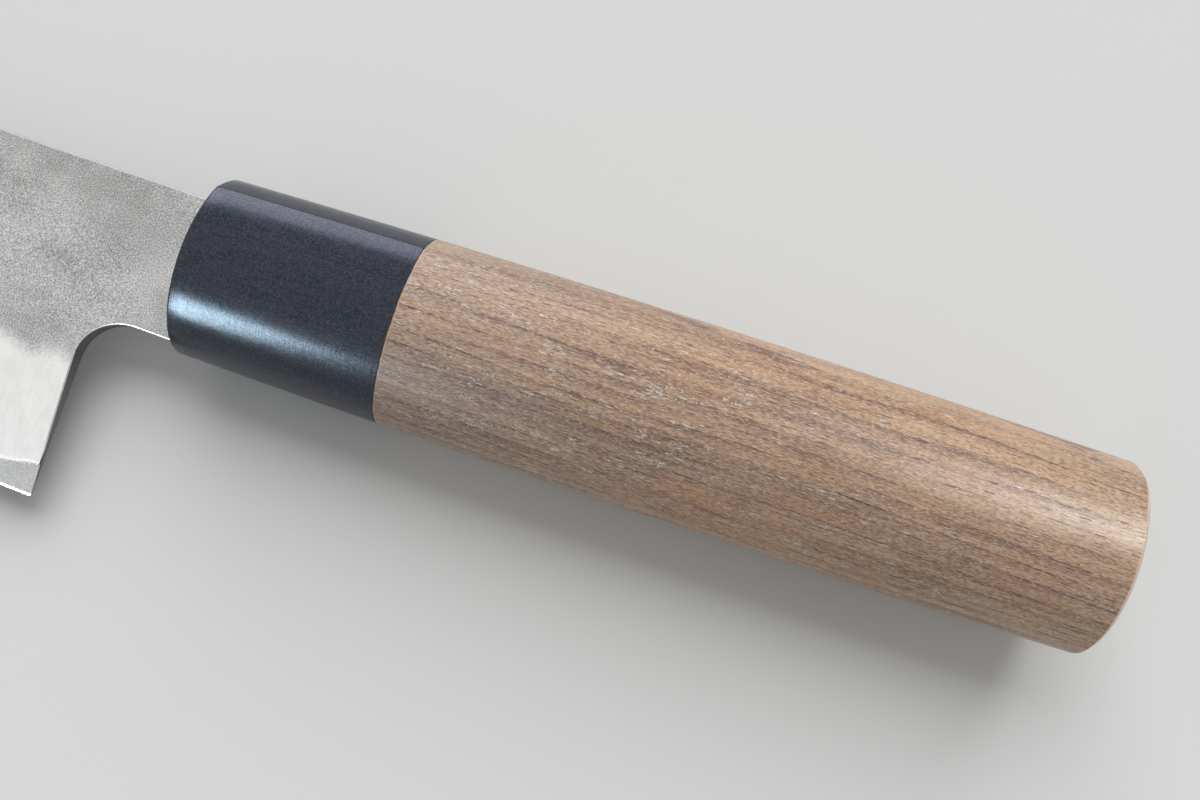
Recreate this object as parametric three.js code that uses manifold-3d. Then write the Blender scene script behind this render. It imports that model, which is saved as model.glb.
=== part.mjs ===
// A wa-handled sujihiki (slicing knife), lying on its right side as on a table.
// Millimetres. +X runs to the butt of the handle, +Y to the spine, +Z out of the left face of the blade.
// While it is built, x = 0 is the front face of the ferrule and y = z = 0 is the axis of the handle.
// At the end the whole knife is moved so that the origin is the middle of its box, on the table.
import * as THREE from "three";
import { mergeVertices } from "three/addons/utils/BufferGeometryUtils.js";
import Module from "manifold-3d";

const wasm = await Module();
wasm.setup();

// Blade outline
const bladeLength = 270; // heel corner to tip
const heelHeight = 44.9; // edge to spine, at the heel
const spineHeight = 8.4; // handle axis to spine, at the ferrule
const spineSlopeShare = 0.0133; // climb of the straight part of the spine, for each unit of length
const spineDrop = 9; // fall of the spine to the tip, from its straight line
const spineStraightShare = 0.72; // straight share of the spine
const edgeSlopeShare = 0.05; // climb of the edge behind its belly
const bellyPowerShare = 4.2; // how late the belly of the edge turns up
const neckLength = 13.05; // ferrule to the back of the notch
const neckHeight = 19.3; // of the neck, at the ferrule
const neckArch = 0.2; // rise of the underside of the neck, from the ferrule to the notch
const notchWidth = 6.6; // half width of the rounded top of the notch
const notchDepth = 5.9; // height of the rounded top of the notch
const heelLean = 0.2; // how far the heel corner leans back under the neck
const heelRounding = 0.3; // radius of the heel corner
const stationPitch = 3; // distance between the sections that shape the blade

// Blade thickness and its three layers
const bladeThickness = 2.6; // at the neck and the tang
const bevelTopThickness = 2.2; // at the top of the bevel, at the heel
const tipThickness = 1.2; // of the flat upper face, run on to the tip
const bevelHeight = 19.2; // edge to the top of the bevel, at the heel
const bevelTipShare = 0.7; // share of the cladding that is bevel, at the tip
const bevelBellyShare = 0.08; // how far the bevel bulges over a straight one
const coreThickness = 0.6;
const coreReveal = 4; // bare core steel above the edge
const coreTipShare = 0.8; // share of the bare tip that is bevel
const laminationWave = 0.45; // height of the short waves of the lamination line
const laminationWaveLength = 11;
const laminationSwell = 0.2; // height of its long waves
const laminationSwellLength = 37;
const edgeBevelHeight = 0.32;
const edgeBevelThickness = 0.1;
const spineChamfer = 0.25;
const spineChamferLimitShare = 0.25; // largest share of the cladding's height, near the tip
const edgeBevelLimitShare = 0.25; // largest share of the bare core's height, near the tip

// Tang
const tangLength = 85;
const tangHeight = 12; // at the ferrule
const tangEndHeight = 7;
const tangEndRounding = 2;

// Handle
const handleLength = 122.4; // ferrule and body together
const ferruleLength = 28.1;
const frontHeight = 24.3; // of the handle, at the front of the ferrule
const middleHeight = 26.3;
const buttHeight = 25.6;
const thicknessShare = 0.78; // thickness of the handle, for each unit of height
const ferruleFrontWall = 5;
const ferruleChamfer = 0.3;
const buttChamfer = 0.6;
const handlePitch = 12; // distance between the sections that shape the handle

// Section of the handle: an oval with one ridge, in shares of its half height and half thickness
const ridgeShares = [0.815, 0.61];
const ridgeInnerAngleShare = 43 / 180; // normal of the face under the ridge, off +Z, as a share of a half turn
const ridgeOuterAngleShare = 58 / 180; // normal of the face over the ridge
const ovalStartShare = 0.36; // where the oval takes over from the flatter face under the ridge
const ridgePullShare = 0.33; // length of the curve handles, for each unit of chord

// Dowel and resin that join tang, ferrule and body
const dowelMargin = 1; // dowel over the tang, on each side
const dowelTail = 10; // solid end of the dowel, behind its kerf
const kerfRun = 2; // kerf behind the end of the tang
const resinMargin = 0.3; // resin below the dowel's surface, at the mouth of the kerf
const fitClearance = 0.3;

const overrun = 5; // how far a cutter runs past what it cuts

const sectionSteps = 40; // points on the oval part of the handle's section
const ridgeSteps = 8; // points on each curve beside the ridge
const roundSteps = 32; // sides of the dowel and its bores
const notchSteps = 14;
const cornerSteps = 4;
const halvings = 40; // steps of the search for the tip of the claddings

const heelX = heelLean - neckLength;
const tipX = heelX - bladeLength;
const halfBlade = bladeThickness / 2;
const halfCore = coreThickness / 2;
const dowelDiameter = tangHeight + 2 * dowelMargin;
const dowelFrontX = ferruleFrontWall + fitClearance;
const kerfEndX = tangLength + kerfRun;
const dowelEndX = kerfEndX + dowelTail;
const kerfWidth = bladeThickness + 2 * fitClearance;

function lerp(from, to, share) {
  return from + (to - from) * share;
}

function solidOf(geometry) {
  const bare = geometry.clone();
  bare.deleteAttribute("normal");
  bare.deleteAttribute("uv");
  const merged = mergeVertices(bare);
  return new wasm.Manifold(
    new wasm.Mesh({
      numProp: 3,
      vertProperties: merged.attributes.position.array,
      triVerts: new Uint32Array(merged.index.array),
    }),
  );
}

function geometryOf(solid) {
  const mesh = solid.getMesh();
  const geometry = new THREE.BufferGeometry();
  geometry.setAttribute("position", new THREE.BufferAttribute(mesh.vertProperties, 3));
  geometry.setIndex(new THREE.BufferAttribute(mesh.triVerts, 1));
  geometry.computeVertexNormals();
  return geometry;
}

// Closed body through rings in order of growing x. Each ring turns from +Y to +Z; a ring of one point is an apex.
function loft(rings) {
  const points = rings.flat();
  const faces = [];
  const count = Math.max(...rings.map((ring) => ring.length));
  let start = 0;
  const starts = rings.map((ring) => {
    const first = start;
    start += ring.length;
    return first;
  });
  const corner = (ring, k) => starts[ring] + (rings[ring].length > 1 ? k % count : 0);
  for (let ring = 0; ring + 1 < rings.length; ring++) {
    for (let k = 0; k < count; k++) {
      if (rings[ring].length > 1) {
        faces.push([corner(ring, k), corner(ring, k + 1), corner(ring + 1, k + 1)]);
      }
      if (rings[ring + 1].length > 1) {
        faces.push([corner(ring, k), corner(ring + 1, k + 1), corner(ring + 1, k)]);
      }
    }
  }
  for (const [ring, turn] of [[0, -1], [rings.length - 1, 1]]) {
    if (rings[ring].length === 1) continue;
    const middle = rings[ring].reduce((sum, p) => sum.map((v, i) => v + p[i] / count), [0, 0, 0]);
    points.push(middle);
    for (let k = 0; k < count; k++) {
      const side = [corner(ring, k), corner(ring, k + 1)];
      if (turn < 0) side.reverse();
      faces.push([points.length - 1, ...side]);
    }
  }
  const geometry = new THREE.BufferGeometry();
  geometry.setAttribute("position", new THREE.Float32BufferAttribute(points.flat(), 3));
  geometry.setIndex(faces.flat());
  return geometry;
}

// Straight wall of the outline, from z = low to z = high.
function prism(outline, low, high) {
  const geometry = new THREE.ExtrudeGeometry(outline, { depth: high - low, bevelEnabled: false });
  geometry.translate(0, 0, low);
  return geometry;
}

// Round rod along X.
function rod(diameter, startX, endX) {
  const geometry = new THREE.CylinderGeometry(diameter / 2, diameter / 2, endX - startX, roundSteps);
  geometry.rotateZ(-Math.PI / 2);
  geometry.translate((startX + endX) / 2, 0, 0);
  return geometry;
}

// Block along X, centred on the axis of the handle.
function block(startX, endX, height, thickness) {
  const geometry = new THREE.BoxGeometry(endX - startX, height, thickness);
  geometry.translate((startX + endX) / 2, 0, 0);
  return geometry;
}

// Lines of the blade, each a height y at a place x. Reach is the distance from the heel towards the tip.

function reachShare(x) {
  return (heelX - x) / bladeLength;
}

function spineY(x) {
  const bend = Math.max(0, (reachShare(x) - spineStraightShare) / (1 - spineStraightShare));
  return spineHeight - spineSlopeShare * x - spineDrop * bend ** 2;
}

function edgeY(x) {
  const heelY = spineY(heelX) - heelHeight;
  const sweep = spineY(tipX) - heelY - edgeSlopeShare * bladeLength;
  return heelY + edgeSlopeShare * (heelX - x) + sweep * Math.max(0, reachShare(x)) ** bellyPowerShare;
}

function bareCoreHeight(x) {
  const wave = Math.cos((2 * Math.PI * (heelX - x)) / laminationWaveLength);
  const swell = Math.sin((2 * Math.PI * (heelX - x)) / laminationSwellLength);
  return coreReveal + laminationWave * wave - laminationSwell * swell;
}

// Half thickness of the flat upper face: one plane from the heel to the tip, and parallel faces on the tang.
function faceHalf(x, y) {
  if (x >= 0) return halfBlade;
  const distal = (halfBlade - tipThickness / 2) / bladeLength;
  const across = (halfBlade - bevelTopThickness / 2) / (heelHeight - bevelHeight);
  return halfBlade - distal * (heelX - x) - across * (spineY(heelX) - y);
}

// Places along the blade: even steps from the heel to the last one before the end.
function bladeStations(endX) {
  const count = Math.max(2, Math.round((heelX - endX) / stationPitch));
  return Array.from({ length: count }, (_, i) => lerp(endX, heelX, (i + 1) / count));
}

// Where the blade is no higher than its bare core, so that the claddings end.
function claddingEndX() {
  let low = tipX;
  let high = heelX;
  for (let i = 0; i < halvings; i++) {
    const middle = (low + high) / 2;
    if (spineY(middle) - edgeY(middle) > bareCoreHeight(middle)) high = middle;
    else low = middle;
  }
  return high;
}

// The left cladding's section, from the lamination line round by the spine.
function claddingRing(x) {
  const spine = spineY(x);
  const lamination = edgeY(x) + bareCoreHeight(x);
  const chamfer = Math.min(spineChamfer, spineChamferLimitShare * (spine - lamination));
  const heelShare = (bevelHeight - coreReveal) / (heelHeight - coreReveal);
  const bevelShare = lerp(heelShare, bevelTipShare, Math.max(0, reachShare(x)) ** 2);
  const bevelTop = lerp(lamination, spine - chamfer, bevelShare);
  const bevelTopHalf = faceHalf(x, bevelTop);
  const bevelMiddle = (lamination + bevelTop) / 2;
  const belly = bevelBellyShare * (bevelTopHalf - halfCore);
  return [
    [x, lamination, halfCore],
    [x, spine, halfCore],
    [x, spine, faceHalf(x, spine) - chamfer],
    [x, spine - chamfer, faceHalf(x, spine - chamfer)],
    [x, bevelTop, bevelTopHalf],
    [x, bevelMiddle, (bevelTopHalf + halfCore) / 2 + belly],
  ];
}

// The core's section, from the edge round by the right face.
function coreRing(x) {
  const edge = edgeY(x);
  const spine = spineY(x);
  const height = spine - edge;
  const bare = Math.min(bareCoreHeight(x), coreTipShare * height);
  const half = halfCore * Math.min(1, height / bareCoreHeight(x));
  const fine = Math.min(edgeBevelHeight, edgeBevelLimitShare * bare);
  const fineHalf = (edgeBevelThickness / 2) * (fine / edgeBevelHeight);
  return [
    [x, edge, 0],
    [x, edge + fine, -fineHalf],
    [x, edge + bare, -half],
    [x, spine, -half],
    [x, spine, half],
    [x, edge + bare, half],
    [x, edge + fine, fineHalf],
  ];
}

function mirrored(ring) {
  return ring.map(([x, y, z]) => [x, y, -z]).reverse();
}

// The blank that all three layers are cut to: notch, neck, shoulders against the ferrule, and tang.
function blankOutline() {
  const farX = tipX - overrun;
  const farY = spineY(heelX) + Math.abs(spineSlopeShare) * bladeLength + overrun;
  const deepY = spineY(heelX) - heelHeight - overrun;
  const underNeck = spineHeight - neckHeight;
  const notchTop = underNeck + neckArch;
  const notchX = notchWidth - neckLength;
  const notchY = notchTop - notchDepth;
  const heelCornerY = edgeY(heelX);
  const outline = new THREE.Shape();
  outline.moveTo(farX, farY);
  outline.lineTo(farX, deepY);
  outline.lineTo(heelX - heelRounding, deepY);
  outline.lineTo(heelX - heelRounding, heelCornerY);
  for (let i = 1; i <= cornerSteps; i++) {
    const turn = (Math.PI / 2) * (i / cornerSteps);
    outline.lineTo(
      heelX - heelRounding * (1 - Math.sin(turn)),
      heelCornerY + heelRounding * (1 - Math.cos(turn)),
    );
  }
  for (let i = 0; i <= notchSteps; i++) {
    const turn = Math.PI - (Math.PI / 2) * (i / notchSteps);
    outline.lineTo(notchX + notchWidth * Math.cos(turn), notchY + notchDepth * Math.sin(turn));
  }
  outline.lineTo(0, underNeck);
  outline.lineTo(0, -tangHeight / 2);
  outline.lineTo(tangLength - tangEndRounding, -tangEndHeight / 2);
  outline.lineTo(tangLength, tangEndRounding - tangEndHeight / 2);
  outline.lineTo(tangLength, tangEndHeight / 2 - tangEndRounding);
  outline.lineTo(tangLength - tangEndRounding, tangEndHeight / 2);
  outline.lineTo(0, tangHeight / 2);
  outline.lineTo(0, farY);
  return outline;
}

// One layer of the blade: its sections run past the heel and the tang's end, and the blank cuts them.
function bladeLayer(ringAt, endX, apex) {
  const behindHeelX = heelX + heelRounding;
  const stations = [...bladeStations(endX), behindHeelX, 0, tangLength + overrun];
  const rings = [[apex], ...stations.map(ringAt)];
  const blank = solidOf(prism(blankOutline(), -bladeThickness, bladeThickness));
  return geometryOf(solidOf(loft(rings)).intersect(blank));
}

function coreSteel() {
  return bladeLayer(coreRing, tipX, [tipX, edgeY(tipX), 0]);
}

function cladding(side) {
  const endX = claddingEndX();
  const ringAt = side > 0 ? claddingRing : (x) => mirrored(claddingRing(x));
  return bladeLayer(ringAt, endX, [endX, spineY(endX), side * halfCore]);
}

// Lines of the handle

function handleHeight(x) {
  const share = x / handleLength;
  const barrel = 4 * (middleHeight - (frontHeight + buttHeight) / 2);
  return lerp(frontHeight, buttHeight, share) + barrel * share * (1 - share);
}

// Oval of half height 1 and half thickness 1, with the ridge, as [height, thickness] shares.
function sectionShares() {
  const [ridgeUp, ridgeOut] = ridgeShares;
  const ridge = new THREE.Vector2(ridgeUp, ridgeOut);
  const spine = new THREE.Vector2(1, 0);
  const start = Math.acos(ovalStartShare);
  const oval = new THREE.Vector2(ovalStartShare, Math.sin(start));
  const facing = (share) => {
    const angle = share * Math.PI;
    return new THREE.Vector2(-Math.cos(angle), Math.sin(angle) / thicknessShare).normalize();
  };
  const pulled = (from, direction, chord) => from.clone().addScaledVector(direction, ridgePullShare * chord);
  const under = ridge.distanceTo(oval);
  const over = ridge.distanceTo(spine);
  const ovalBack = new THREE.Vector2(Math.sin(start), -ovalStartShare);
  const underCurve = new THREE.CubicBezierCurve(
    ridge,
    pulled(ridge, facing(ridgeInnerAngleShare), under),
    pulled(oval, ovalBack, under),
    oval,
  );
  const ovalCurve = new THREE.EllipseCurve(0, 0, 1, 1, start, 2 * Math.PI);
  const overCurve = new THREE.CubicBezierCurve(
    spine,
    pulled(spine, new THREE.Vector2(0, 1), over),
    pulled(ridge, facing(ridgeOuterAngleShare).negate(), over),
    ridge,
  );
  const points = [
    ...underCurve.getPoints(ridgeSteps).slice(0, -1),
    ...ovalCurve.getPoints(sectionSteps).slice(0, -1),
    ...overCurve.getPoints(ridgeSteps).slice(0, -1),
  ];
  return points.map((point) => [point.x, point.y]);
}

function handleRing(x, inset) {
  const halfHeight = handleHeight(x) / 2 - inset;
  const halfThickness = (thicknessShare * handleHeight(x)) / 2 - inset;
  return sectionShares().map(([up, out]) => [x, up * halfHeight, out * halfThickness]);
}

// Outer body of the handle between two places, each with its own chamfer.
function handleSleeve(startX, endX, startChamfer, endChamfer) {
  const count = Math.max(2, Math.round((endX - startX) / handlePitch));
  const innerStart = startX + startChamfer;
  const innerEnd = endX - endChamfer;
  const rings = startChamfer > 0 ? [handleRing(startX, startChamfer)] : [];
  for (let i = 0; i <= count; i++) rings.push(handleRing(lerp(innerStart, innerEnd, i / count), 0));
  if (endChamfer > 0) rings.push(handleRing(endX, endChamfer));
  return solidOf(loft(rings));
}

// Ferrule: a front wall with the slot for the tang, and the dowel's bore behind it.
function ferrule() {
  const slot = block(
    -overrun,
    ferruleFrontWall + overrun,
    tangHeight + 2 * fitClearance,
    bladeThickness + 2 * fitClearance,
  );
  const bore = rod(dowelDiameter + 2 * fitClearance, ferruleFrontWall, ferruleLength + overrun);
  const outer = handleSleeve(0, ferruleLength, ferruleChamfer, 0);
  return geometryOf(outer.subtract(solidOf(slot)).subtract(solidOf(bore)));
}

// Body of the handle, with a blind bore for the dowel.
function handleBody() {
  const bore = rod(
    dowelDiameter + 2 * fitClearance,
    ferruleLength - overrun,
    dowelEndX + fitClearance,
  );
  const outer = handleSleeve(ferruleLength, handleLength, 0, buttChamfer);
  return geometryOf(outer.subtract(solidOf(bore)));
}

// Dowel, split by a kerf for the tang and solid at its tail.
function tangDowel() {
  const kerf = block(dowelFrontX - overrun, kerfEndX, dowelDiameter + overrun, kerfWidth);
  return geometryOf(solidOf(rod(dowelDiameter, dowelFrontX, dowelEndX)).subtract(solidOf(kerf)));
}

// Resin that fills the kerf round the tang.
function tangResin() {
  const wide = tangHeight / 2 + fitClearance;
  const narrow = tangEndHeight / 2 + fitClearance;
  const pocket = new THREE.Shape();
  pocket.moveTo(-overrun, -wide);
  pocket.lineTo(0, -wide);
  pocket.lineTo(tangLength + fitClearance, -narrow);
  pocket.lineTo(tangLength + fitClearance, narrow);
  pocket.lineTo(0, wide);
  pocket.lineTo(-overrun, wide);
  const bed = block(dowelFrontX, kerfEndX, dowelDiameter - 2 * resinMargin, kerfWidth);
  const cut = prism(pocket, -bladeThickness / 2, bladeThickness / 2);
  return geometryOf(solidOf(bed).subtract(solidOf(cut)));
}

function piece(name, geometry, color, roughness, metalness) {
  const material = new THREE.MeshStandardMaterial({ color, roughness, metalness, flatShading: true });
  const mesh = new THREE.Mesh(geometry, material);
  mesh.name = name;
  return mesh;
}

const blade = new THREE.Group();
blade.add(
  piece("core_steel", coreSteel(), 0xb9bcbf, 0.3, 1),
  piece("cladding_left", cladding(1), 0xa8a8a6, 0.45, 1),
  piece("cladding_right", cladding(-1), 0xa8a8a6, 0.45, 1),
);

const handle = new THREE.Group();
handle.add(
  piece("ferrule", ferrule(), 0x23282d, 0.35, 0),
  piece("handle_body", handleBody(), 0x8a7563, 0.5, 0),
  piece("tang_dowel", tangDowel(), 0xc9ab82, 0.75, 0),
  piece("tang_resin", tangResin(), 0xb98f4e, 0.4, 0),
);

const knife = new THREE.Group();
knife.add(blade, handle);
const box = new THREE.Box3().setFromObject(knife);
knife.position.set(-(box.min.x + box.max.x) / 2, -(box.min.y + box.max.y) / 2, -box.min.z);

export default knife;
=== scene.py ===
# Looks of the sujihiki knife: blade, ferrule and handle body as fine meshes with procedural materials
import math

import bmesh
import bpy
import numpy as np
from mathutils import Matrix, Vector, noise


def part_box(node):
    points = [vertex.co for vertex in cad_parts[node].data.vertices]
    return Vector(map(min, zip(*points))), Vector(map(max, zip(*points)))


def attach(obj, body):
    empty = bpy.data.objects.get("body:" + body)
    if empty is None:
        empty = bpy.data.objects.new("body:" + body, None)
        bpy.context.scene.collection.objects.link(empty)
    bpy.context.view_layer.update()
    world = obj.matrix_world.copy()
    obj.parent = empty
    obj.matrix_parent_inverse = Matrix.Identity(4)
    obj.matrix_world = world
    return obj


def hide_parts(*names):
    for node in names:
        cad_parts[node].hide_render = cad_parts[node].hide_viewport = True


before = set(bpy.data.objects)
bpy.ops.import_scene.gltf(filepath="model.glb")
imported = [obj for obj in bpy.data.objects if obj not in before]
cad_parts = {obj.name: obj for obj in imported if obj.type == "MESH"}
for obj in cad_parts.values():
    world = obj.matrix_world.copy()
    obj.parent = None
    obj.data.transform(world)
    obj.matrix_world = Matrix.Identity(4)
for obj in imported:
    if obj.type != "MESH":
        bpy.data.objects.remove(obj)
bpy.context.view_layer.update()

# Shapes are worked out in millimetres, from the front of the ferrule (x = 0) and the axis of the handle
# (y = z = 0).
MM = 0.001
dowel_low, dowel_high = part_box("tang_dowel")
dowel_middle = (dowel_low + dowel_high) / 2
ORIGIN = Vector((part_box("ferrule")[0].x, dowel_middle.y, dowel_middle.z))

# Blade outline
BLADE_LENGTH = 270
HEEL_HEIGHT = 44.9
SPINE_HEIGHT = 8.4
SPINE_SLOPE = 0.0133
SPINE_DROP = 9
SPINE_STRAIGHT = 0.72
EDGE_SLOPE = 0.05
BELLY_POWER = 4.2
NECK_LENGTH = 13.05
NECK_HEIGHT = 19.3
NECK_ARCH = 0.2
NOTCH_WIDTH = 6.6
NOTCH_DEPTH = 5.9
HEEL_LEAN = 0.2
HEEL_ROUNDING = 0.3

# Blade thickness and layers
BLADE_THICKNESS = 2.6
BEVEL_TOP_THICKNESS = 2.2
TIP_THICKNESS = 1.2
BEVEL_HEIGHT = 19.2
BEVEL_TIP_SHARE = 0.7
BEVEL_BELLY = 0.08
CORE_THICKNESS = 0.6
CORE_REVEAL = 4
CORE_TIP_SHARE = 0.8
WAVE, WAVE_LENGTH = 0.45, 11
SWELL, SWELL_LENGTH = 0.2, 37
RIPPLE, RIPPLE_LENGTH = 0.2, 1.7
EDGE_BEVEL_HEIGHT = 0.32
EDGE_BEVEL_THICKNESS = 0.1
SPINE_CHAMFER = 0.25
NECK_CHAMFER = 0.13
NECK_CHAMFER_SLOPE = 0.4
HEEL_CHAMFER = 0.15
CHAMFER_LIMIT = 0.25

# Tang
TANG_LENGTH = 85
TANG_HEIGHT = 12
TANG_END_HEIGHT = 7
TANG_END_ROUNDING = 2

# Handle
HANDLE_LENGTH = 122.4
FERRULE_LENGTH = 28.1
FRONT_HEIGHT = 24.3
MIDDLE_HEIGHT = 26.3
BUTT_HEIGHT = 25.6
THICKNESS_SHARE = 0.78
FERRULE_WALL = 5
FERRULE_ROUNDING = 0.35
JOINT_ROUNDING = 0.06
JOINT_RAGGEDNESS = 0.16
BUTT_CHAMFER = 0.6
SLOT_HEIGHT, SLOT_THICKNESS = 12.2, 2.8
BORE_DIAMETER = 14.6
BORE_END = 97.3
RIDGE = (0.815, 0.61)
RIDGE_INNER_ANGLE = math.radians(43)
RIDGE_OUTER_ANGLE = math.radians(58)
OVAL_START = 0.36
RIDGE_PULL = 0.33
FERRULE_RIDGE_SOFTNESS = 0.03
BODY_RIDGE_SOFTNESS = 0.14

# Growth rings of the walnut. Their pith lies beyond the edge side of the handle and to its right.
PITH_BELOW = 60
PITH_RIGHT = 24
PITH_LEAN = 0.02
RING_WIDTH = 1.7

# Fineness of the meshes
STATION_PITCH = 0.35
BEVEL_ROWS = 8
FACE_ROWS = 12
CHAMFER_ROWS = 3
TANG_ROWS = (3, 9)
TANG_PITCH = 8
NOTCH_COLUMNS = 26
NECK_COLUMNS = 8
HANDLE_PITCH = 2
OVAL_POINTS = 150
CURVE_POINTS = 14
ROUNDING_STEPS = 4
BUTT_RING_SHARES = (0.8, 0.55, 0.3)
SHARP_ANGLE = math.radians(32)
TOLERANCE = 1e-6
NEARLY_ZERO = 1e-9

# Table, as the knife really lies on it: on the front rim of the ferrule and on the belly of the edge
TABLE_UP = Vector((0.03338, 0.119, 0.99233)).normalized()
TABLE_SIZE = 3
TABLE_POINTS = 96

# Camera, from the outlines of the handle and the blade in the photograph
CAMERA_PLACE = Vector((60.27, -5.446, 127.46))
CAMERA_DEGREES = (2.105, 2.397, 18.058)
CAMERA_LENS = 29.25
SENSOR_WIDTH = 36

HEEL_X = HEEL_LEAN - NECK_LENGTH
TIP_X = HEEL_X - BLADE_LENGTH
HALF_BLADE = BLADE_THICKNESS / 2
HALF_CORE = CORE_THICKNESS / 2
NECK_BOTTOM = SPINE_HEIGHT - NECK_HEIGHT
NOTCH_TOP = NECK_BOTTOM + NECK_ARCH
NOTCH_BOTTOM = NOTCH_TOP - NOTCH_DEPTH
SPLIT_ROW = BEVEL_ROWS + 1
TOP_ROW = SPLIT_ROW + FACE_ROWS

# Material slots. The first is the face of each piece.
FACE = 0
CORE_WALL, CORE_EDGE = 1, 2
TRIM, CLADDING_WALL = 1, 2
END_GRAIN = 1


def lerp(a, b, share):
    return a + (b - a) * share


def smooth(share):
    return share * share * (3 - 2 * share)


def wobble(*place):
    """Smooth noise, about -1 to 1."""
    return noise.noise(Vector(place))


# Lines of the blade


def reach_share(x):
    return (HEEL_X - x) / BLADE_LENGTH


def spine_y(x):
    bend = max(0, (reach_share(x) - SPINE_STRAIGHT) / (1 - SPINE_STRAIGHT))
    return SPINE_HEIGHT - SPINE_SLOPE * x - SPINE_DROP * bend**2


def edge_y(x):
    heel_y = spine_y(HEEL_X) - HEEL_HEIGHT
    sweep = spine_y(TIP_X) - heel_y - EDGE_SLOPE * BLADE_LENGTH
    return heel_y + EDGE_SLOPE * (HEEL_X - x) + sweep * max(0, reach_share(x)) ** BELLY_POWER


def bare_core_height(x):
    wave = math.cos(2 * math.pi * (HEEL_X - x) / WAVE_LENGTH)
    swell = math.sin(2 * math.pi * (HEEL_X - x) / SWELL_LENGTH)
    ripple = wobble(x / RIPPLE_LENGTH, 0.5, 0.5)
    return CORE_REVEAL + WAVE * wave - SWELL * swell + RIPPLE * ripple


def bevel_top(x):
    lamination = edge_y(x) + bare_core_height(x)
    heel_share = (BEVEL_HEIGHT - CORE_REVEAL) / (HEEL_HEIGHT - CORE_REVEAL)
    share = lerp(heel_share, BEVEL_TIP_SHARE, max(0, reach_share(x)) ** 2)
    return lerp(lamination, spine_y(x), share)


def face_half(x, y):
    """Half thickness of the flat upper face, which runs out to parallel faces at the ferrule."""
    distal = (HALF_BLADE - TIP_THICKNESS / 2) / BLADE_LENGTH
    across = (HALF_BLADE - BEVEL_TOP_THICKNESS / 2) / (HEEL_HEIGHT - BEVEL_HEIGHT)
    half = HALF_BLADE - distal * (HEEL_X - min(x, HEEL_X)) - across * (spine_y(x) - y)
    return lerp(HALF_BLADE, half, min(1, max(0, x / HEEL_X)))


def heel_wall_x(y):
    share = (NOTCH_BOTTOM - y) / (NOTCH_BOTTOM - edge_y(HEEL_X))
    return lerp(-NECK_LENGTH, HEEL_X, min(1, max(0, share)))


def cladding_end_x():
    """Where the blade is no higher than its bare core."""
    low, high = TIP_X, HEEL_X
    while high - low > TOLERANCE:
        middle = (low + high) / 2
        if spine_y(middle) - edge_y(middle) > bare_core_height(middle):
            high = middle
        else:
            low = middle
    return high


class Sheet:
    """One side of a plate, as points and faces with material slots, made into a closed body."""

    def __init__(self):
        self.points = []
        self.faces = []
        self.slots = []

    def point(self, x, y, z):
        self.points.append((x, y, z))
        return len(self.points) - 1

    def face(self, corners, slot):
        kept = [c for i, c in enumerate(corners) if c != corners[i - 1]]
        if len(kept) > 2:
            self.faces.append(kept)
            self.slots.append(slot)

    def grid(self, columns, slot_of):
        for left, right in zip(columns, columns[1:]):
            for row in range(min(len(left), len(right)) - 1):
                corners = [left[row], right[row], right[row + 1], left[row + 1]]
                self.face(corners, slot_of(row))

    def close(self, other_height, wall_slot):
        """Adds the other side, and the walls round the outline."""
        sides = {(a, b) for face in self.faces for a, b in zip(face, face[1:] + face[:1])}
        outline = [(a, b) for a, b in sides if (b, a) not in sides]
        twins = []
        for index, (x, y, z) in enumerate(list(self.points)):
            far = other_height(z)
            twins.append(index if abs(far - z) < TOLERANCE else self.point(x, y, far))
        for corners, slot in list(zip(self.faces, self.slots)):
            self.face([twins[c] for c in reversed(corners)], slot)
        for a, b in sorted(outline):
            self.face([b, a, twins[a], twins[b]], wall_slot)


def row_points(x, core):
    """(y, z) of one side of a layer at a place along the blade, from its lower border up."""
    edge, spine = edge_y(x), spine_y(x)
    bare = bare_core_height(x)
    if core:
        low_y, low_z = core_bevel(edge, spine, bare)
        chamfer = 0
    else:
        low_y, low_z = cladding_bevel(x, edge + bare)
        chamfer = max(0, min(SPINE_CHAMFER, CHAMFER_LIMIT * (spine - edge - bare)))
    top = spine - chamfer
    face_y = np.linspace(lerp(low_y[-1], top, split_share(core)), top, FACE_ROWS + 1)
    face_z = [low_z[-1] if core else face_half(x, y) for y in face_y]
    turns = [] if core else [math.pi / 2 * (i + 1) / CHAMFER_ROWS for i in range(CHAMFER_ROWS)]
    chamfer_y = [top + chamfer * math.sin(t) for t in turns]
    chamfer_z = [face_z[-1] - chamfer * (1 - math.cos(t)) for t in turns]
    return list(zip([*low_y, *face_y, *chamfer_y], [*low_z, *face_z, *chamfer_z]))


def core_bevel(edge, spine, bare):
    height = min(bare, CORE_TIP_SHARE * (spine - edge))
    fine = min(EDGE_BEVEL_HEIGHT, CHAMFER_LIMIT * height)
    fine_half = EDGE_BEVEL_THICKNESS / 2 * fine / EDGE_BEVEL_HEIGHT
    full_half = HALF_CORE * min(1, (spine - edge) / bare)
    low_y = [edge, *np.linspace(edge + fine, edge + height, BEVEL_ROWS)]
    low_z = [0, *np.linspace(fine_half, full_half, BEVEL_ROWS)]
    return low_y, low_z


def cladding_bevel(x, lamination):
    top = max(lamination, bevel_top(x))
    top_half = max(HALF_CORE, face_half(x, top))
    belly = 4 * BEVEL_BELLY * (top_half - HALF_CORE)
    shares = np.linspace(0, 1, BEVEL_ROWS + 1)
    low_y = [lerp(lamination, top, s) for s in shares]
    low_z = [lerp(HALF_CORE, top_half, s) + belly * s * (1 - s) for s in shares]
    return low_y, low_z


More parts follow.
